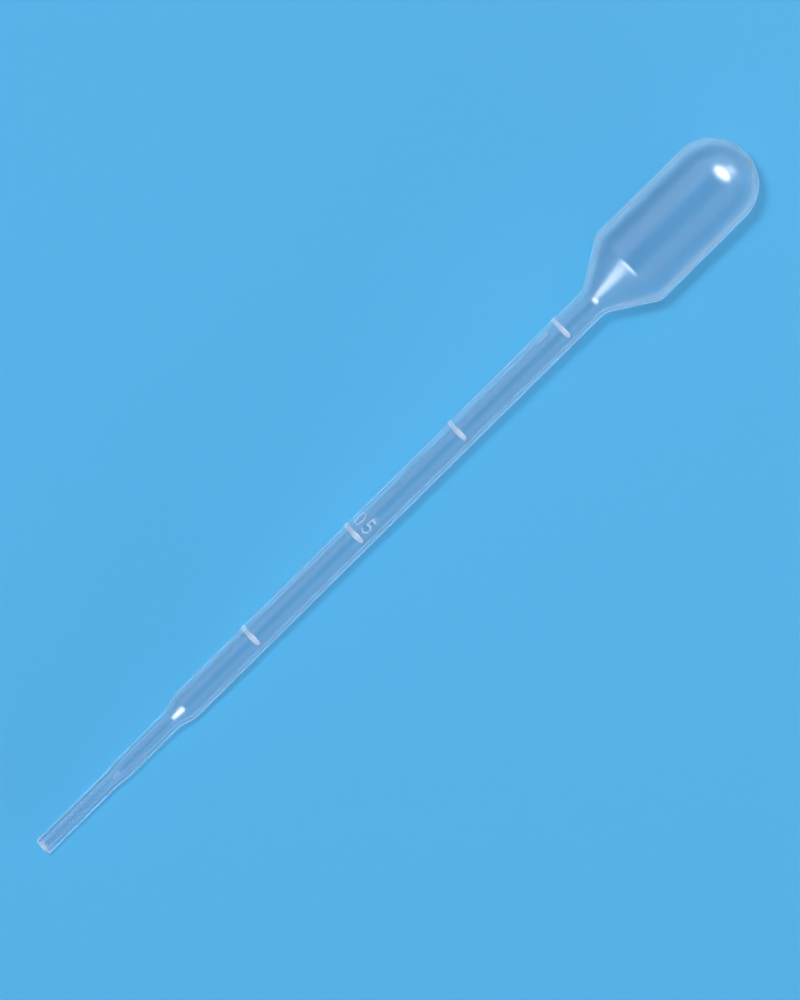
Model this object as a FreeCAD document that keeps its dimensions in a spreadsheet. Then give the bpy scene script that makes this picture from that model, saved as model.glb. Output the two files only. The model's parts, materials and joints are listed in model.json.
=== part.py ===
import FreeCAD, Part
import math
import os
import Sketcher
from enum import IntEnum

# A graduated dropper pipette, blown in one piece from soft natural polyethylene: a closed squeeze
# bulb, a stem with four raised volume marks, a thinner lower stem and an open tip. Millimetres.
#
# The body is drawn with its axis along +X, the mouth of the tip at x = 0 and the marks facing +Z.
# Its placement then lays it down as it comes to rest on a table, on the rim of the mouth and the
# shoulder of the bulb, with the origin on the table below the middle of its length.

# Driving dimensions. Lengths run along the axis, one stretch after another from the mouth.
SIZES = {
    # tip and lower stem
    "tip_length": 14.9,
    "tip_diameter": 2.8,
    "tip_wall": 0.7,
    "tip_taper_length": 1.8,
    "lower_stem_length": 11.2,
    "lower_stem_diameter": 3.3,
    "lower_stem_wall": 0.6,
    # graduated stem: its bore holds a quarter of a millilitre from one mark to the next
    "stem_taper_length": 2.5,
    "stem_length": 87.5,
    "stem_diameter": 4.85,
    "stem_wall": 0.525,
    # bulb: shoulder, barrel and a dome of the barrel's own radius
    "shoulder_length": 7.3,
    "barrel_length": 17.75,
    "bulb_diameter": 14.1,
    "bulb_wall": 0.55,
    # radii of the roundings, the same outside and inside unless named apart
    "taper_round": 2.5,
    "neck_round": 3.0,
    "shoulder_round": 1.2,
    "shoulder_inside_round": 0.6,
    # volume marks: ribs part of the way round the stem, set in from its two ends
    "mark_count": 4,
    "mark_width": 0.9,
    "mark_height": 0.15,
    "mark_span_degrees": 150,
    "first_mark_offset": 15.0,
    "last_mark_offset": 6.4,
    # how far the marks are rolled from straight up towards +Y, as the pipette lies
    "mark_roll_degrees": 33,
}

# Where each stretch ends along the axis, as expressions of the sheet's sizes.
TIP_END = "Sizes.tip_length"
LOWER_STEM_START = f"{TIP_END} + Sizes.tip_taper_length"
LOWER_STEM_END = f"{LOWER_STEM_START} + Sizes.lower_stem_length"
STEM_START = f"{LOWER_STEM_END} + Sizes.stem_taper_length"
NECK = f"{STEM_START} + Sizes.stem_length"
SHOULDER = f"{NECK} + Sizes.shoulder_length"
DOME_CENTRE = f"{SHOULDER} + Sizes.barrel_length"

TIP_RADIUS = "Sizes.tip_diameter / 2"
LOWER_STEM_RADIUS = "Sizes.lower_stem_diameter / 2"
STEM_RADIUS = "Sizes.stem_diameter / 2"
BULB_RADIUS = "Sizes.bulb_diameter / 2"


def slope(small_radius, large_radius, length):
    """The angle between a widening wall and the axis."""
    return f"atan(({large_radius} - {small_radius}) / {length})"


TIP_SLOPE = slope(TIP_RADIUS, LOWER_STEM_RADIUS, "Sizes.tip_taper_length")
STEM_SLOPE = slope(LOWER_STEM_RADIUS, STEM_RADIUS, "Sizes.stem_taper_length")
SHOULDER_SLOPE = slope(STEM_RADIUS, BULB_RADIUS, "Sizes.shoulder_length")


# Corners of the outside's half section: distance from the mouth, radius, and the radius that rounds
# the corner, where it is rounded.
OUTSIDE = {
    "mouth": ("0", TIP_RADIUS, None),
    "tip_end": (TIP_END, TIP_RADIUS, "Sizes.taper_round"),
    "lower_stem_start": (LOWER_STEM_START, LOWER_STEM_RADIUS, "Sizes.taper_round"),
    "lower_stem_end": (LOWER_STEM_END, LOWER_STEM_RADIUS, "Sizes.taper_round"),
    "stem_start": (STEM_START, STEM_RADIUS, "Sizes.taper_round"),
    "neck": (NECK, STEM_RADIUS, "Sizes.neck_round"),
    "shoulder": (SHOULDER, BULB_RADIUS, "Sizes.shoulder_round"),
    "dome": (DOME_CENTRE, BULB_RADIUS, None),
}


def below(corner, wall, taper="0", rounding=None):
    """The bore's corner below an outer one. Where a taper meets a straight wall it is shifted along
    the axis, so that the wall is as thick square to either of them."""
    x, radius, outer_rounding = OUTSIDE[corner]
    return f"{x} + {wall} * tan({taper} / 2)", f"{radius} - {wall}", rounding or outer_rounding


BORE = {
    "mouth": ("0", f"{TIP_RADIUS} - Sizes.tip_wall", None),
    "tip_end": below("tip_end", "Sizes.tip_wall", TIP_SLOPE),
    "lower_stem_start": below("lower_stem_start", "Sizes.lower_stem_wall", TIP_SLOPE),
    "lower_stem_end": below("lower_stem_end", "Sizes.lower_stem_wall", STEM_SLOPE),
    "stem_start": below("stem_start", "Sizes.stem_wall", STEM_SLOPE),
    "neck": below("neck", "Sizes.stem_wall", SHOULDER_SLOPE),
    "shoulder": below("shoulder", "Sizes.bulb_wall", SHOULDER_SLOPE, "Sizes.shoulder_inside_round"),
    "dome": below("dome", "Sizes.bulb_wall"),
}

# One mark's section: a low arch on the stem's surface, over a root half way into the wall.
FIRST_MARK = f"{STEM_START} + Sizes.first_mark_offset"
MARK_NEAR = f"{FIRST_MARK} - Sizes.mark_width / 2"
MARK_FAR = f"{FIRST_MARK} + Sizes.mark_width / 2"
MARK_ROOT = f"{STEM_RADIUS} - Sizes.stem_wall / 2"
MARK_TOP = f"{STEM_RADIUS} + Sizes.mark_height"
ARCH_RADIUS = "(Sizes.mark_width ^ 2 / 4 + Sizes.mark_height ^ 2) / (2 * Sizes.mark_height)"
MARKED_LENGTH = "Sizes.stem_length - Sizes.first_mark_offset - Sizes.last_mark_offset"
MARK_SECTION = {
    "arch_near": (MARK_NEAR, STEM_RADIUS),
    "root_near": (MARK_NEAR, MARK_ROOT),
    "root_far": (MARK_FAR, MARK_ROOT),
    "arch_far": (MARK_FAR, STEM_RADIUS),
}

# At rest the table touches the rim of the mouth and the rounding of the shoulder, so the axis rises
# by the angle of their common tangent.
ROUND_CENTRE = f"({SHOULDER} + Sizes.shoulder_round * tan({SHOULDER_SLOPE} / 2))"
ROUND_DROP = f"({BULB_RADIUS} - Sizes.shoulder_round - {TIP_RADIUS})"
TILT = (
    f"(atan2({ROUND_DROP}; {ROUND_CENTRE})"
    f" + asin(Sizes.shoulder_round / hypot({ROUND_CENTRE}; {ROUND_DROP})))"
)
LYING_LENGTH = f"(({DOME_CENTRE}) * cos({TILT}) + {BULB_RADIUS})"
BASE_X = f"(({TIP_RADIUS}) * sin({TILT}) - {LYING_LENGTH}) / 2"
BASE_Z = f"({TIP_RADIUS}) * cos({TILT})"


class Line(IntEnum):
    """A sketch's numbers for its own axes; the origin goes with the horizontal one."""

    ACROSS = -1
    UP = -2


class At(IntEnum):
    """A sketch's numbers for the points of a line or an arc."""

    START = 1
    END = 2
    CENTRE = 3


def make_sheet(doc):
    """The spreadsheet that drives the model, with one named number to a row."""
    sheet = doc.addObject("Spreadsheet::Sheet", "Sizes")
    for row, (name, size) in enumerate(SIZES.items(), 1):
        sheet.set(f"A{row}", name)
        sheet.set(f"B{row}", str(size))
        sheet.setAlias(f"B{row}", name)
    doc.recompute()
    return sheet


def value(sheet, expression):
    return float(sheet.evalExpression(expression))


def vector(sheet, x, radius):
    return FreeCAD.Vector(value(sheet, x), value(sheet, radius), 0)


def origin_feature(body, role):
    """One of the body's own axes or planes."""
    return next(f for f in body.Origin.OriginFeatures if f.Role == role)


def axial_sketch(body, name):
    """A sketch on the body's XZ plane: across is along the axis, up is the radius."""
    sketch = body.newObject("Sketcher::SketchObject", name)
    sketch.AttachmentSupport = [(origin_feature(body, "XZ_Plane"), "")]
    sketch.MapMode = "FlatFace"
    return sketch


def constrain(sketch, kind, *references):
    sketch.addConstraint(Sketcher.Constraint(kind, *references))


def add_size(sketch, name, expression, kind, *references):
    """Adds a dimension under a name of its own and binds it to the sheet."""
    index = sketch.addConstraint(Sketcher.Constraint(kind, *references))
    sketch.renameConstraint(index, name)
    sketch.setExpression(f"Constraints.{name}", expression)


def set_place(sketch, name, line, x, radius):
    """Fixes a line's end by its distance from the mouth and from the axis."""
    place = sketch.getPoint(line, At.END)
    between = (Line.ACROSS, At.START, line, At.END)
    if x == "0":
        constrain(sketch, "PointOnObject", line, At.END, Line.UP)
    else:
        add_size(sketch, f"{name}_x", x, "DistanceX", *between, place.x)
    add_size(sketch, f"{name}_radius", radius, "DistanceY", *between, place.y)


def add_rounding(sketch, name, line, expression, radius):
    """Rounds the corner at a line's end, which stays in the sketch as a construction point."""
    arc = sketch.GeometryCount
    trim = keep_corner = True
    sketch.fillet(line, At.END, radius, trim, keep_corner)
    add_size(sketch, f"{name}_round", expression, "Radius", arc, radius)


def join(sketch, lines):
    """Joins each line's end to the start of the next."""
    for line, following in zip(lines, lines[1:]):
        constrain(sketch, "Coincident", line, At.END, following, At.START)


def half_section(body, sheet, name, corners):
    """A closed half section: from the axis up to the first corner, along the corners to the dome,
    down the dome to its crown and back along the axis."""
    sketch = axial_sketch(body, name)
    path = [FreeCAD.Vector(0, 0, 0)] + [vector(sheet, *corner[:2]) for corner in corners.values()]
    lines = [sketch.addGeometry(Part.LineSegment(*ends)) for ends in zip(path, path[1:])]
    dome_start = path[-1]
    dome_circle = Part.Circle()
    dome_circle.Center = (dome_start.x, 0, 0)
    dome_circle.Radius = dome_start.y
    dome = sketch.addGeometry(Part.ArcOfCircle(dome_circle, 0, math.pi / 2))
    crown = FreeCAD.Vector(dome_start.x + dome_start.y, 0, 0)
    axis_line = sketch.addGeometry(Part.LineSegment(crown, path[0]))

    join(sketch, [axis_line, *lines])
    constrain(sketch, "Coincident", lines[0], At.START, Line.ACROSS, At.START)
    constrain(sketch, "Tangent", lines[-1], At.END, dome, At.END)
    constrain(sketch, "PointOnObject", dome, At.CENTRE, Line.ACROSS)
    constrain(sketch, "PointOnObject", dome, At.START, Line.ACROSS)
    constrain(sketch, "Coincident", dome, At.START, axis_line, At.START)
    for line, (corner, (x, radius, rounding)) in zip(lines, corners.items()):
        set_place(sketch, corner, line, x, radius)
        if rounding:
            add_rounding(sketch, corner, line, rounding, value(sheet, rounding))
    return sketch


def turn(body, kind, name, sketch):
    """A revolution or groove of a section about the axis, by a full turn unless changed."""
    feature = body.newObject(f"PartDesign::{kind}", name)
    feature.Profile = (sketch, [""])
    feature.ReferenceAxis = (origin_feature(body, "X_Axis"), [""])
    feature.Angle = 360
    return feature


def mark_section(body, sheet):
    """The first mark's section, with its arch ending on the stem's surface."""
    sketch = axial_sketch(body, "MarkSection")
    path = [vector(sheet, *corner) for corner in MARK_SECTION.values()]
    lines = [sketch.addGeometry(Part.LineSegment(*ends)) for ends in zip(path, path[1:])]
    top = vector(sheet, FIRST_MARK, MARK_TOP)
    arch = sketch.addGeometry(Part.Arc(path[-1], top, path[0]))

    join(sketch, lines)
    constrain(sketch, "Coincident", lines[-1], At.END, arch, At.START)
    constrain(sketch, "Coincident", arch, At.END, lines[0], At.START)
    constrain(sketch, "Vertical", lines[0])
    constrain(sketch, "Horizontal", arch, At.START, arch, At.END)
    for line, corner in zip(lines, list(MARK_SECTION)[1:]):
        set_place(sketch, corner, line, *MARK_SECTION[corner])
    add_size(sketch, "arch_radius", ARCH_RADIUS, "Radius", arch, value(sheet, ARCH_RADIUS))
    return sketch


def add_marks(body, sheet):
    """The raised volume marks: one rib turned part of the way round, repeated along the stem."""
    rib = turn(body, "Revolution", "FirstMark", mark_section(body, sheet))
    rib.Midplane = True
    rib.setExpression("Angle", "Sizes.mark_span_degrees")
    marks = body.newObject("PartDesign::LinearPattern", "Marks")
    marks.Originals = [rib]
    marks.Direction = (origin_feature(body, "X_Axis"), [""])
    marks.setExpression("Length", MARKED_LENGTH)
    marks.setExpression("Occurrences", "Sizes.mark_count")
    body.Tip = marks


def make_pipette(doc, sheet):
    """The whole pipette, lying as it comes to rest."""
    body = doc.addObject("PartDesign::Body", "Pipette")
    body.Label = "pipette"
    turn(body, "Revolution", "OuterForm", half_section(body, sheet, "OuterSection", OUTSIDE))
    turn(body, "Groove", "Bore", half_section(body, sheet, "BoreSection", BORE))
    add_marks(body, sheet)
    lying = f"rotation(0; -{TILT}; -Sizes.mark_roll_degrees)"
    body.setExpression("Placement", f"placement(vector({BASE_X}; 0; {BASE_Z}); {lying})")
    doc.recompute()
    return body


def check(doc, parts):
    """Stops if any object failed to compute or any sub-part isn't one sound solid."""
    for feature in doc.Objects:
        if "Invalid" in feature.State or "Error" in feature.State:
            raise RuntimeError(f"{feature.Label} failed: {feature.State}")
    for part in parts:
        if part.Shape.isNull() or not part.Shape.isValid() or len(part.Shape.Solids) != 1:
            raise RuntimeError(f"{part.Label} is not one valid solid")


def main():
    doc = FreeCAD.newDocument("Pipette")
    parts = [make_pipette(doc, make_sheet(doc))]
    check(doc, parts)
    os.makedirs("parts", exist_ok=True)
    for part in parts:
        part.Shape.exportStep(f"parts/{part.Label}.step")
        print(f"{part.Label}: {part.Shape.Volume:.1f} mm3, {part.Shape.BoundBox}")


main()
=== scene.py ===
import json
import math

import bpy
import numpy as np
from mathutils import Matrix, Vector


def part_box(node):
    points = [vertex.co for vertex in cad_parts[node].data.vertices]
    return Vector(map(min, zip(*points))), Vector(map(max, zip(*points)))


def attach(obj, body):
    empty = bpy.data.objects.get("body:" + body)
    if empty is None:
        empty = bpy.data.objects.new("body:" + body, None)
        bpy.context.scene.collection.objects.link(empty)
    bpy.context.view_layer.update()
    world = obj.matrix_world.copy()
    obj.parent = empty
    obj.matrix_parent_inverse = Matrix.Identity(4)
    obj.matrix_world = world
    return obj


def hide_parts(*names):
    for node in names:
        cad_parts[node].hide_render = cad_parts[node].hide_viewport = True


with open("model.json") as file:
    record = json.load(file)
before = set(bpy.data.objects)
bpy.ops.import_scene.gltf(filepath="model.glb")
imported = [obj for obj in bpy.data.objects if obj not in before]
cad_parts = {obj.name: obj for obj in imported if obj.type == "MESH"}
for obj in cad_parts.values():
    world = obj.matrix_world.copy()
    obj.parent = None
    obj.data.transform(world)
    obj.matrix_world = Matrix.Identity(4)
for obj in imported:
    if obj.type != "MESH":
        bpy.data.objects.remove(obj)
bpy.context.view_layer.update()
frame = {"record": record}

# The looks of a dropper pipette of soft natural polyethylene: one skin, smooth and fine, drawn over
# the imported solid's own dimensions, with its volume marks, their figures and the mould's parting
# line. Lengths are in millimetres, and what Blender is given is in metres. Along the pipette, x is
# the distance from its mouth, and angles round its axis start at the middle of the marks.

MM = 0.001

# ---------------------------------------------------------------- the solid's own dimensions

# The record's mounts hold three of its radii.
MOUNTS = {mount["name"]: mount for mount in frame["record"]["mounts"]}

TIP_LENGTH = 14.9
TIP_RADIUS = MOUNTS["tip_outside"]["dims"]["r_mm"]
BORE_RADIUS = MOUNTS["tip_bore"]["dims"]["r_mm"]
TIP_WALL = TIP_RADIUS - BORE_RADIUS
TIP_TAPER_LENGTH = 1.8
LOWER_STEM_LENGTH = 11.2
LOWER_STEM_RADIUS = 1.65
LOWER_STEM_WALL = 0.6
STEM_TAPER_LENGTH = 2.5
STEM_LENGTH = 87.5
STEM_RADIUS = MOUNTS["stem_grip"]["dims"]["r_mm"]
STEM_WALL = 0.525
SHOULDER_LENGTH = 7.3
BARREL_LENGTH = 17.75
BULB_RADIUS = 7.05
BULB_WALL = 0.55
TAPER_ROUND = 2.5
NECK_ROUND = 3.0
SHOULDER_ROUND = 1.2
SHOULDER_INSIDE_ROUND = 0.6
MARK_COUNT = 4
MARK_WIDTH = 0.9
MARK_HEIGHT = 0.15
MARK_SPAN = math.radians(150)    # how far round the stem a mark goes
FIRST_MARK_OFFSET = 15.0         # from the stem's start to the first mark's middle
LAST_MARK_OFFSET = 6.4           # from the last mark's middle to the neck
MARK_ROLL = math.radians(33)     # from straight up to the middle of the marks, towards +Y

TIP_END = TIP_LENGTH
LOWER_STEM_START = TIP_END + TIP_TAPER_LENGTH
LOWER_STEM_END = LOWER_STEM_START + LOWER_STEM_LENGTH
STEM_START = LOWER_STEM_END + STEM_TAPER_LENGTH
NECK = STEM_START + STEM_LENGTH
SHOULDER = NECK + SHOULDER_LENGTH
DOME_CENTRE = SHOULDER + BARREL_LENGTH

TIP_SLOPE = math.atan((LOWER_STEM_RADIUS - TIP_RADIUS) / TIP_TAPER_LENGTH)
STEM_SLOPE = math.atan((STEM_RADIUS - LOWER_STEM_RADIUS) / STEM_TAPER_LENGTH)
SHOULDER_SLOPE = math.atan((BULB_RADIUS - STEM_RADIUS) / SHOULDER_LENGTH)

FIRST_MARK = STEM_START + FIRST_MARK_OFFSET
MARK_PITCH = (STEM_LENGTH - FIRST_MARK_OFFSET - LAST_MARK_OFFSET) / (MARK_COUNT - 1)
MARKS = [FIRST_MARK + i * MARK_PITCH for i in range(MARK_COUNT)]

# ---------------------------------------------------------------- what the skin adds

LIP_ROUND = 0.12          # the two edges of the cut mouth
LIP_FLAT = 0.18           # from an edge to where its profile starts, on the cut face
MARK_FADE = 1.2           # the length of a mark's soft ends
FIGURE_HEIGHT = 2.2
FIGURE_WIDTH = 1.1
FIGURE_GAP = 0.38
FIGURE_START = -0.75      # round the stem from the marks' middle
GAP_TO_HALF = 0.75        # from the second mark to its figures
GAP_TO_ONE = 1.6          # from the fourth mark to its figure
POINT_FOOT = 0.02
POINT_TOP = 0.03
STROKE = 0.32
STROKE_CREST = 0.22 * STROKE     # from a stroke's middle to where its flank starts
STROKE_FLANK = 0.38 * STROKE     # and how wide that is
FIGURE_RELIEF = 0.06
SEAM_WIDTH = 0.3
SEAM_RELIEF = 0.012
SEAM_END_RADIUS = 0.8     # the parting line has died away here, near the dome's crown
SEAM_END_FADE = 0.5       # and does so over this much of the radius

# ---------------------------------------------------------------- how finely the skin is divided

ARC_STEP = 0.12           # round the corners of a profile
LEAST_ARC_STEPS = 4
LONGEST_STEP = 2.5        # on its straight stretches
LEAST_SHARE = 1e-4        # of a step: one isn't divided nearer to its ends
MARK_STEP = MARK_WIDTH / 14
MARK_STEPS = 8            # each side of a mark's middle
FIGURE_STEP = 0.065
LIP_STRETCH = (0.2, 1.2, 0.2)    # start, end and step, where the frost of the cut fades
OUTSIDE_DOME_RINGS = 34
BORE_DOME_RINGS = 30
OVAL_STEPS = 28
FRONT_REACH = math.radians(42)   # each side of the marks' middle, where the figures are
FRONT_COLUMNS = 69
SIDE_COLUMNS = 11         # from there to a parting line
BACK_COLUMNS = 43         # from one parting line to the other
SEAM_COLUMNS = (0.2, 0.4, 0.6, 0.9, 1.4)    # each side of a parting line, in seam widths

# ---------------------------------------------------------------- the finish

CLEAR_COLOUR = (0.944, 0.961, 0.98, 1)
HAZE_COLOUR = (0.95, 0.97, 1.0, 1)
GLOSS_COLOUR = (1, 1, 1, 1)
HAZE_ACROSS = 0.03        # haze of a millimetre of wall, seen square on
HAZE_ALONG = 1.35         # and what is added where a look passes along it
HAZE_EDGE = 3.5           # how closely that keeps to the edges
HAZE_THROUGH = 0.25       # the share of the haze that is lit from behind
BORE_HAZE = 0.75          # the bore's haze to the outside's
BULB_HAZE = 0.75          # the bulb's haze to the stem's, for the same wall
CLOUDS = (30, 700, 700)   # to a metre, drawn out along the length
CLOUD_DETAIL = 3
THINNEST_CLOUD = 0.5
THICKEST_CLOUD = 1.5
GLOSS = 0.036
GRAZING_GLOSS = 0.4
GRAZING_EDGE = 5.0
ROUGHNESS = 0.26
FROST = 0.28              # haze of the marks, the figures and the cut edge
FROST_GLOSS = 0.05
FROST_ROUGHNESS = 0.3
FROST_START = 0.01        # how proud the skin is where frost starts
FROST_RISE = 0.07         # and how much prouder where it is full
CUT_FROST = 0.5           # the cut edge's share of it
CUT_START = 0.1           # it fades from this x
CUT_FADE = 0.9            # over this length

FLOOR_COLOUR = (0.075, 0.43, 0.79, 1)
FLOOR_ROUGHNESS = 0.6
FLOOR_SPECULAR = 0.2

# ---------------------------------------------------------------- the stage

FLOOR_HALF = 2000.0
FLOOR_DROP = 0.03         # below the pipette, so that nothing is in two places at once

# For each lamp: degrees from vertical, heading in degrees from +X to +Y, width (level) and height in
# degrees as the object sees them, and radiance.
LAMPS_IN_THE_GLOSS = {
    "over_the_bulb": (37, 4, 44, 24, 16),       # the spot on the dome
    "over_the_cone": (70, 172, 26, 12, 16),     # the streak down the cone
    "beyond_the_bulb": (66, 0, 80, 36, 1.0),    # the dome's pale end
    "over_the_tip": (43, 180, 46, 12, 19),      # the dots on the taper and the neck
    "left": (46, 90, 90, 50, 0.95),             # the paler half towards +Y
}
LAMPS_THAT_LIGHT = {
    "key": (12, 92, 10, 10, 88),                # high, with the soft shadow towards -Y
    "bulb_side": (45, 0, 16, 16, 4),            # weak, from beyond the bulb
    "right": (82, -90, 80, 14, 10),             # weak and low, from -Y
}

# The sky is brighter towards +Y, and a little towards -Y. Each is (start, end, first, last): its
# strength goes from first to last while the Y of a direction goes from start to end.
SKY_COLOUR = (0.88, 0.95, 1, 1)
SKY_LEFT = (0.0, 0.6, 0.03, 0.3)
SKY_RIGHT = (-0.2, -0.7, 0.0, 0.25)

LENS = 180
VIEW_LENGTH = 151.515     # what the longer side of the picture shows, at AIM_HEIGHT
VIEW_TURN = 44.7164       # degrees that the bulb is turned up from the picture's right
AIM_RIGHT = 1.1364        # from the pipette's middle to the picture's, on the picture
AIM_UP = 0.1515
AIM_HEIGHT = 5.0          # above the floor


def smooth_step(t):
    """Goes softly from 0 to 1 while t does."""
    t = np.clip(t, 0, 1)
    return t * t * (3 - 2 * t)


# ---------------------------------------------------------------- profiles

def unit(vector):
    return vector / np.linalg.norm(vector)


def turned(vector, angle):
    cos, sin = math.cos(angle), math.sin(angle)
    return np.array([cos * vector[0] - sin * vector[1], sin * vector[0] + cos * vector[1]])


def rounded(corners):
    """Points along a half section. corners holds (x, radius, rounding), and its two ends stay sharp."""
    places = [np.array(corner[:2], float) for corner in corners]
    points = [places[0]]
    for k in range(1, len(corners) - 1):
        corner, rounding = places[k], corners[k][2]
        back, ahead = unit(places[k - 1] - corner), unit(places[k + 1] - corner)
        turn = math.pi - math.acos(float(np.clip(back @ ahead, -1, 1)))
        centre = corner + unit(back + ahead) * rounding / math.cos(turn / 2)
        start = corner + back * rounding * math.tan(turn / 2) - centre
        count = max(LEAST_ARC_STEPS, math.ceil(rounding * turn / ARC_STEP))
        sign = math.copysign(1, ahead[0] * back[1] - ahead[1] * back[0])
        points += [centre + turned(start, sign * turn * i / count) for i in range(count + 1)]
    points.append(places[-1])
    return points


def dome(radius, rings):
    """The dome's points after its first one, to just short of the crown."""
    angles = [math.pi / 2 * i / rings for i in range(1, rings)]
    return [np.array([DOME_CENTRE + radius * math.sin(a), radius * math.cos(a)]) for a in angles]


def fill(points, fine):
    """Adds points so that no step is longer than LONGEST_STEP, and divides the stretches in fine.
    Each of those is (start, end, step)."""
    out = [points[0]]
    for p, q in zip(points, points[1:]):
        cuts = {0.0, 1.0}
        if q[0] > p[0]:
            for start, end, step in fine:
                shares = (np.arange(start, end + step / 2, step) - p[0]) / (q[0] - p[0])
                cuts.update(t for t in shares if LEAST_SHARE < t < 1 - LEAST_SHARE)
        cuts = sorted(cuts)
        for s, t in zip(cuts, cuts[1:]):
            length = np.linalg.norm(q - p) * (t - s)
            count = max(1, math.ceil(length / LONGEST_STEP))
            out += [p + (q - p) * (s + (t - s) * (i + 1) / count) for i in range(count)]
    return out


def corner_inside(x, radius, wall, slope, rounding):
    """The bore's corner behind the outside's corner at x, where a straight stretch meets a slope."""
    return (x + wall * math.tan(slope / 2), radius - wall, rounding)


OUTSIDE = [
    (0, TIP_RADIUS - LIP_FLAT, 0),
    (0, TIP_RADIUS, LIP_ROUND),
    (TIP_END, TIP_RADIUS, TAPER_ROUND),
    (LOWER_STEM_START, LOWER_STEM_RADIUS, TAPER_ROUND),
    (LOWER_STEM_END, LOWER_STEM_RADIUS, TAPER_ROUND),
    (STEM_START, STEM_RADIUS, TAPER_ROUND),
    (NECK, STEM_RADIUS, NECK_ROUND),
    (SHOULDER, BULB_RADIUS, SHOULDER_ROUND),
    (DOME_CENTRE, BULB_RADIUS, 0),
]
BORE = [
    (0, BORE_RADIUS + LIP_FLAT, 0),
    (0, BORE_RADIUS, LIP_ROUND),
    corner_inside(TIP_END, TIP_RADIUS, TIP_WALL, TIP_SLOPE, TAPER_ROUND),
    corner_inside(LOWER_STEM_START, LOWER_STEM_RADIUS, LOWER_STEM_WALL, TIP_SLOPE, TAPER_ROUND),
    corner_inside(LOWER_STEM_END, LOWER_STEM_RADIUS, LOWER_STEM_WALL, STEM_SLOPE, TAPER_ROUND),
    corner_inside(STEM_START, STEM_RADIUS, STEM_WALL, STEM_SLOPE, TAPER_ROUND),
    corner_inside(NECK, STEM_RADIUS, STEM_WALL, SHOULDER_SLOPE, NECK_ROUND),
    corner_inside(SHOULDER, BULB_RADIUS, BULB_WALL, SHOULDER_SLOPE, SHOULDER_INSIDE_ROUND),
    (DOME_CENTRE, BULB_RADIUS - BULB_WALL, 0),
]

# ---------------------------------------------------------------- figures

# A glyph is a list of strokes. Their points are (u, v), with u round the stem and v up from its foot,
# and are mostly shares of its width and height.

def oval(u, v, half_width, half_height, start, end):
    angles = np.radians(np.linspace(start, end, OVAL_STEPS + 1))
    return [(u + half_width * math.cos(a), v + half_height * math.sin(a)) for a in angles]


def zero(u):
    w, h = FIGURE_WIDTH / 2, FIGURE_HEIGHT / 2
    return [oval(u + w, h, w, h, 0, 360)]


def one(u):
    w, h = FIGURE_WIDTH, FIGURE_HEIGHT
    return [[(u + 0.15 * w, 0.78 * h), (u + 0.6 * w, h), (u + 0.6 * w, 0)]]


def five(u):
    w, h = FIGURE_WIDTH, FIGURE_HEIGHT
    bowl = oval(u + 0.47 * w, 0.31 * h, 0.5 * w, 0.31 * h, 125, -140)
    return [[(u + 0.92 * w, h), (u + 0.16 * w, h), (u + 0.12 * w, 0.56 * h)] + bowl]


def point(u):
    return [[(u, POINT_FOOT), (u, POINT_TOP)]]


# The glyphs beside the second and the fourth mark, by the x of their middle.
FIGURES = {
    MARKS[1] + MARK_WIDTH / 2 + GAP_TO_HALF + FIGURE_HEIGHT / 2: (zero, point, five),
    MARKS[3] - MARK_WIDTH / 2 - GAP_TO_ONE - FIGURE_HEIGHT / 2: (one,),
}


def strokes_of(centre, glyphs):
    """Strokes of a row of glyphs, standing from the tip up to the bulb, with their middle at x =
    centre. Their points are (u, x), with u round the stem from the marks' middle."""
    start, strokes = FIGURE_START, []
    for glyph in glyphs:
        strokes += glyph(start)
        width = 0 if glyph is point else FIGURE_WIDTH
        start += width + FIGURE_GAP
    return [[(u, centre + v - FIGURE_HEIGHT / 2) for u, v in stroke] for stroke in strokes]


def stroke_distance(u, x, strokes):
    """How far each place (u, x) is from the nearest stroke."""
    nearest = np.full_like(u, np.inf)
    for stroke in strokes:
        for (u0, x0), (u1, x1) in zip(stroke, stroke[1:]):
            du, dx = u1 - u0, x1 - x0
            t = np.clip(((u - u0) * du + (x - x0) * dx) / (du * du + dx * dx), 0, 1)
            nearest = np.minimum(nearest, np.hypot(u - u0 - t * du, x - x0 - t * dx))
    return nearest


# ---------------------------------------------------------------- the skin's relief

def mark_relief(x, across, radius):
    """The four volume marks: low arches, with soft ends."""
    out = np.zeros_like(across)
    for mark in MARKS:
        side = abs(x - mark) / (MARK_WIDTH / 2)
        if side < 1:
            ends = smooth_step((MARK_SPAN / 2 - np.abs(across)) * radius / MARK_FADE)
            out += MARK_HEIGHT * (1 - side ** 2) * ends
    return out


def figure_relief(x, across, radius):
    out = np.zeros_like(across)
    for centre, glyphs in FIGURES.items():
        if abs(x - centre) < FIGURE_HEIGHT / 2 + STROKE:
            away = stroke_distance(across * radius, x, strokes_of(centre, glyphs))
            out += FIGURE_RELIEF * (1 - smooth_step((away - STROKE_CREST) / STROKE_FLANK))
    return out


def seam_relief(across, radius):
    """The mould's parting line, along both sides."""
    away = np.abs(np.abs(across) - math.pi / 2) * radius
    fade = smooth_step((radius - SEAM_END_RADIUS) / SEAM_END_FADE)
    return SEAM_RELIEF * fade * (1 - smooth_step(away / (SEAM_WIDTH / 2)))


def relief(x, angles, radius):
    """How far the outer skin stands out of the solid's bare shape, on the ring at x. The parts of it
    go by across, which is the angles brought to between -pi and pi."""
    across = (angles + math.pi) % (2 * math.pi) - math.pi
    raised = mark_relief(x, across, radius) + figure_relief(x, across, radius)
    return np.maximum(raised, seam_relief(across, radius))


def bare(x, angles, radius):
    """The bore has no relief."""
    return np.zeros_like(angles)


# ---------------------------------------------------------------- the skin

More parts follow.
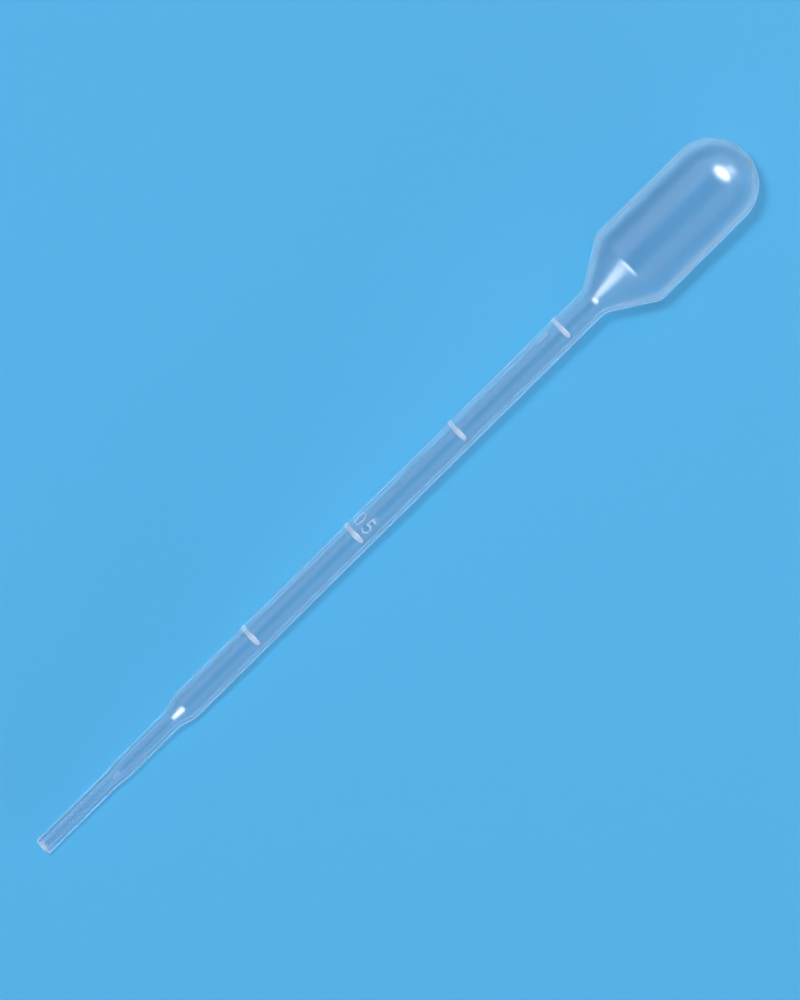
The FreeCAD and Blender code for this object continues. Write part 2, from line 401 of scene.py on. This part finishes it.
def columns(radius):
    """Angles round the axis on a ring of that radius, finer over the figures and at the two parting
    lines. Every ring has as many, so that rings join column to column, and on the smallest, at the
    crowns, the columns keep the angles that they have in the tip's bore."""
    front = np.linspace(-FRONT_REACH, FRONT_REACH, FRONT_COLUMNS)
    offsets = np.array(SEAM_COLUMNS) * SEAM_WIDTH / max(radius, BORE_RADIUS)
    seam = np.concatenate([-offsets[::-1], [0], offsets])
    right, left = math.pi / 2 + seam, -math.pi / 2 + seam
    between = np.linspace(front[-1], right[0], SIDE_COLUMNS + 2)[1:-1]
    back = np.linspace(right[-1], 2 * math.pi + left[0], BACK_COLUMNS + 2)[1:-1]
    return np.concatenate([left, -between[::-1], front, between, right, back])


def wall_at(x):
    """The thickness that the haze goes by at x: the wall's own, and less in the clearer bulb."""
    stations = [TIP_END, LOWER_STEM_START, LOWER_STEM_END, STEM_START, NECK, SHOULDER]
    walls = [TIP_WALL, LOWER_STEM_WALL, LOWER_STEM_WALL, STEM_WALL, STEM_WALL, BULB_WALL * BULB_HAZE]
    return np.interp(x, stations, walls)


def cut_edge(x):
    """How frosted the skin is at x, from 0 to 1, by the cut that opened the mouth."""
    return CUT_FROST * (1 - smooth_step((x - CUT_START) / CUT_FADE))


class Lying:
    """Where the pipette lies: its axis as the frame has it, with the mouth's rim at the frame's
    lowest corner. Its front is where the marks are."""

    def __init__(self):
        out_of_the_mouth = MOUNTS["tip_outside"]["axis"]
        self.along = -unit(np.array(out_of_the_mouth))
        side = np.array([0, 1, 0])
        up = np.cross(self.along, side)
        self.front = math.cos(MARK_ROLL) * up + math.sin(MARK_ROLL) * side
        self.right = np.cross(self.along, self.front)
        lowest = np.array(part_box("pipette")[0]) * (1, 0, 1) / MM
        self.mouth = lowest + TIP_RADIUS * np.array([self.along[2], 0, self.along[0]])

    def on_axis(self, x):
        return self.mouth + self.along * x

    def ring(self, x, radii, angles):
        towards_front = np.outer(np.cos(angles) * radii, self.front)
        towards_right = np.outer(np.sin(angles) * radii, self.right)
        return self.on_axis(x) + towards_front + towards_right


def rings_and_crown(lying, profile, dome_radius, raise_by, haze):
    """One side of the wall: its points, ring by ring and then the crown, and at each point the
    thickness that the haze goes by and the frost."""
    points, walls, frosts = [], [], []
    for x, radius in profile:
        angles = columns(radius)
        raised = raise_by(x, angles, radius)
        points.append(lying.ring(x, radius + raised, angles))
        walls.append(np.full_like(angles, wall_at(x) * haze))
        frosts.append(np.maximum(smooth_step((raised - FROST_START) / FROST_RISE), cut_edge(x)))
    points.append([lying.on_axis(DOME_CENTRE + dome_radius)])
    walls.append([wall_at(DOME_CENTRE) * haze])
    frosts.append([0])
    return [np.concatenate(part) for part in (points, walls, frosts)]


def quads(a, b, n):
    """Faces between two rings of n points, which start at point a and at point b."""
    return [(a + j, a + (j + 1) % n, b + (j + 1) % n, b + j) for j in range(n)]


def fan(a, tip, n):
    """Faces between the ring of n points that starts at point a, and the point tip."""
    return [(a + j, a + (j + 1) % n, tip) for j in range(n)]


def skin(name):
    """The whole pipette as one closed skin: from the lip along the outside to the dome's crown, and
    from the bore's crown back to the lip."""
    fine = [(mark - MARK_STEPS * MARK_STEP, mark + MARK_STEPS * MARK_STEP, MARK_STEP) for mark in MARKS]
    reach = (FIGURE_HEIGHT + STROKE) / 2
    fine += [(centre - reach, centre + reach, FIGURE_STEP) for centre in FIGURES]
    outside = fill(rounded(OUTSIDE), fine + [LIP_STRETCH]) + dome(BULB_RADIUS, OUTSIDE_DOME_RINGS)
    bore_radius = BULB_RADIUS - BULB_WALL
    bore = fill(rounded(BORE), [LIP_STRETCH]) + dome(bore_radius, BORE_DOME_RINGS)

    lying = Lying()
    outer_side = rings_and_crown(lying, outside, BULB_RADIUS, relief, 1)
    inner_side = rings_and_crown(lying, bore, bore_radius, bare, BORE_HAZE)
    points, walls, frosts = [np.concatenate(part) for part in zip(outer_side, inner_side)]

    n = len(columns(BULB_RADIUS))
    outer_last = (len(outside) - 1) * n
    outer_crown = outer_last + n
    inner_first = outer_crown + 1
    inner_last = inner_first + (len(bore) - 1) * n
    inner_crown = inner_last + n
    faces = []
    for a in range(0, outer_last, n):
        faces += quads(a, a + n, n)
    faces += fan(outer_last, outer_crown, n)
    for a in range(inner_first, inner_last, n):
        faces += quads(a + n, a, n)
    faces += [face[::-1] for face in fan(inner_last, inner_crown, n)]
    faces += quads(inner_first, 0, n)

    mesh = bpy.data.meshes.new(name)
    mesh.from_pydata((points * MM).tolist(), [], faces)
    mesh.validate()
    mesh.shade_smooth()
    for attribute, values in (("wall", walls), ("frost", frosts)):
        mesh.attributes.new(attribute, "FLOAT", "POINT").data.foreach_set("value", values)
    piece = bpy.data.objects.new(name, mesh)
    bpy.context.scene.collection.objects.link(piece)
    return piece


# ---------------------------------------------------------------- materials

class Shader:
    """The node tree of a material or a world, built up by short calls."""

    def __init__(self, owner):
        owner.use_nodes = True
        self.tree = owner.node_tree
        self.tree.nodes.clear()

    def put(self, socket, value):
        if isinstance(value, bpy.types.NodeSocket):
            self.tree.links.new(value, socket)
        else:
            socket.default_value = value

    def node(self, kind, **inputs):
        made = self.tree.nodes.new(kind)
        for name, value in inputs.items():
            self.put(made.inputs[name.replace("_", " ")], value)
        return made

    def attribute(self, name):
        made = self.tree.nodes.new("ShaderNodeAttribute")
        made.attribute_name = name
        return made.outputs["Fac"]

    def math(self, operation, *values):
        made = self.tree.nodes.new("ShaderNodeMath")
        made.operation = operation
        for socket, value in zip(made.inputs, values):
            self.put(socket, value)
        return made.outputs[0]

    def noise(self, per_metre, detail):
        """Cloudy noise from 0 to 1, with so many features to a metre along each axis."""
        place = self.node("ShaderNodeTexCoord").outputs["Object"]
        stretched = self.node("ShaderNodeMapping", Vector=place, Scale=per_metre).outputs["Vector"]
        return self.node("ShaderNodeTexNoise", Vector=stretched, Scale=1.0, Detail=detail).outputs["Fac"]

    def fade(self, value, start, end, first, last):
        """Goes softly from first to last while value goes from start to end."""
        made = self.node(
            "ShaderNodeMapRange", Value=value, From_Min=start, From_Max=end, To_Min=first, To_Max=last
        )
        made.interpolation_type = "SMOOTHSTEP"
        return made.outputs["Result"]

    def mix(self, share, first, second):
        made = self.tree.nodes.new("ShaderNodeMixShader")
        for socket, value in zip(made.inputs, (share, first, second)):
            self.put(socket, value)
        return made.outputs[0]


def soft_plastic():
    """Milky, see-through and softly shiny. The haze grows with the wall's thickness, and towards the
    edges, where a look passes along the wall."""
    material = bpy.data.materials.new("soft_plastic")
    s = Shader(material)

    facing = s.node("ShaderNodeLayerWeight", Blend=0.5).outputs["Facing"]
    wall, frost = s.attribute("wall"), s.attribute("frost")
    noise = s.noise(CLOUDS, CLOUD_DETAIL)
    cloud = s.node("ShaderNodeMapRange", Value=noise, To_Min=THINNEST_CLOUD, To_Max=THICKEST_CLOUD)
    thickness = s.math("MULTIPLY", wall, cloud.outputs["Result"])
    edge = s.math("POWER", facing, HAZE_EDGE)
    along = s.math("ADD", s.math("MULTIPLY", edge, HAZE_ALONG), HAZE_ACROSS)
    seen = s.math("EXPONENT", s.math("MULTIPLY", s.math("MULTIPLY", thickness, along), -1.0))
    unfrosted = s.math("SUBTRACT", 1.0, s.math("MULTIPLY", frost, FROST))
    haze = s.math("SUBTRACT", 1.0, s.math("MULTIPLY", seen, unfrosted))
    grazing = s.math("MULTIPLY", s.math("POWER", facing, GRAZING_EDGE), GRAZING_GLOSS)
    gloss = s.math("ADD", s.math("ADD", grazing, GLOSS), s.math("MULTIPLY", frost, FROST_GLOSS))
    roughness = s.math("ADD", s.math("MULTIPLY", frost, FROST_ROUGHNESS), ROUGHNESS)

    clear = s.node("ShaderNodeBsdfTransparent", Color=CLEAR_COLOUR).outputs[0]
    lit = s.node("ShaderNodeBsdfDiffuse", Color=HAZE_COLOUR).outputs[0]
    through = s.node("ShaderNodeBsdfTranslucent", Color=HAZE_COLOUR).outputs[0]
    milky = s.mix(HAZE_THROUGH, lit, through)
    shine = s.node("ShaderNodeBsdfGlossy", Color=GLOSS_COLOUR, Roughness=roughness).outputs[0]
    surface = s.mix(gloss, s.mix(haze, clear, milky), shine)
    s.node("ShaderNodeOutputMaterial", Surface=surface)
    return material


def floor_finish():
    material = bpy.data.materials.new("floor")
    s = Shader(material)
    body = s.node(
        "ShaderNodeBsdfPrincipled",
        Base_Color=FLOOR_COLOUR, Roughness=FLOOR_ROUGHNESS, Specular_IOR_Level=FLOOR_SPECULAR,
    )
    s.node("ShaderNodeOutputMaterial", Surface=body.outputs["BSDF"])
    return material


# ---------------------------------------------------------------- the stage's floor, lights and camera

def make_floor():
    mesh = bpy.data.meshes.new("floor")
    half = FLOOR_HALF * MM
    corners = [(-half, -half, 0), (half, -half, 0), (half, half, 0), (-half, half, 0)]
    mesh.from_pydata(corners, [], [(0, 1, 2, 3)])
    mesh.materials.append(floor_finish())
    floor = bpy.data.objects.new("floor", mesh)
    floor.location.z = -FLOOR_DROP * MM
    bpy.context.scene.collection.objects.link(floor)


def polar(from_vertical, towards):
    """A direction so many degrees from vertical, leaning to a heading in degrees from +X to +Y."""
    v, t = math.radians(from_vertical), math.radians(towards)
    return Vector((math.sin(v) * math.cos(t), math.sin(v) * math.sin(t), math.cos(v)))


def soft_box(name, from_vertical, towards, wide, high, radiance):
    """An oval lamp a metre from the object, which sees it so many degrees wide (level) and high,
    and as bright as radiance."""
    data = bpy.data.lights.new(name, "AREA")
    data.shape = "ELLIPSE"
    data.size = 2 * math.tan(math.radians(wide / 2))
    data.size_y = 2 * math.tan(math.radians(high / 2))
    area = data.size * data.size_y * math.pi / 4
    data.energy = radiance * math.pi * area
    lamp = bpy.data.objects.new(name, data)
    lamp.visible_camera = False
    bpy.context.scene.collection.objects.link(lamp)
    direction = polar(from_vertical, towards)
    lamp.location = direction
    lamp.rotation_mode = "QUATERNION"
    lamp.rotation_quaternion = direction.to_track_quat("Z", "Y")
    return lamp


def make_lamps():
    for name, settings in LAMPS_IN_THE_GLOSS.items():
        soft_box(name, *settings).visible_diffuse = False
    for name, settings in LAMPS_THAT_LIGHT.items():
        soft_box(name, *settings).visible_glossy = False


def make_sky():
    world = bpy.data.worlds.new("world")
    bpy.context.scene.world = world
    s = Shader(world)
    direction = s.node("ShaderNodeTexCoord").outputs["Generated"]
    across = s.node("ShaderNodeSeparateXYZ", Vector=direction).outputs["Y"]
    strength = s.math("ADD", s.fade(across, *SKY_LEFT), s.fade(across, *SKY_RIGHT))
    background = s.node("ShaderNodeBackground", Color=SKY_COLOUR, Strength=strength)
    s.node("ShaderNodeOutputWorld", Surface=background.outputs[0])


def make_camera():
    """A new camera looks straight down, so it is only placed and turned."""
    data = bpy.data.cameras.new("camera")
    data.lens = LENS
    distance = VIEW_LENGTH * data.lens / data.sensor_width
    place = Vector((AIM_RIGHT, AIM_UP, AIM_HEIGHT + distance)) * MM
    turn = Matrix.Rotation(-math.radians(VIEW_TURN), 4, "Z")
    camera = bpy.data.objects.new("camera", data)
    bpy.context.scene.collection.objects.link(camera)
    camera.matrix_world = turn @ Matrix.Translation(place)
    bpy.context.scene.camera = camera


# ---------------------------------------------------------------- the scene

pipette = skin("pipette_skin")
pipette.data.materials.append(soft_plastic())
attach(pipette, "root")
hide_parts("pipette")

make_floor()
make_lamps()
make_sky()
make_camera()
bpy.context.scene.view_settings.view_transform = "Standard"
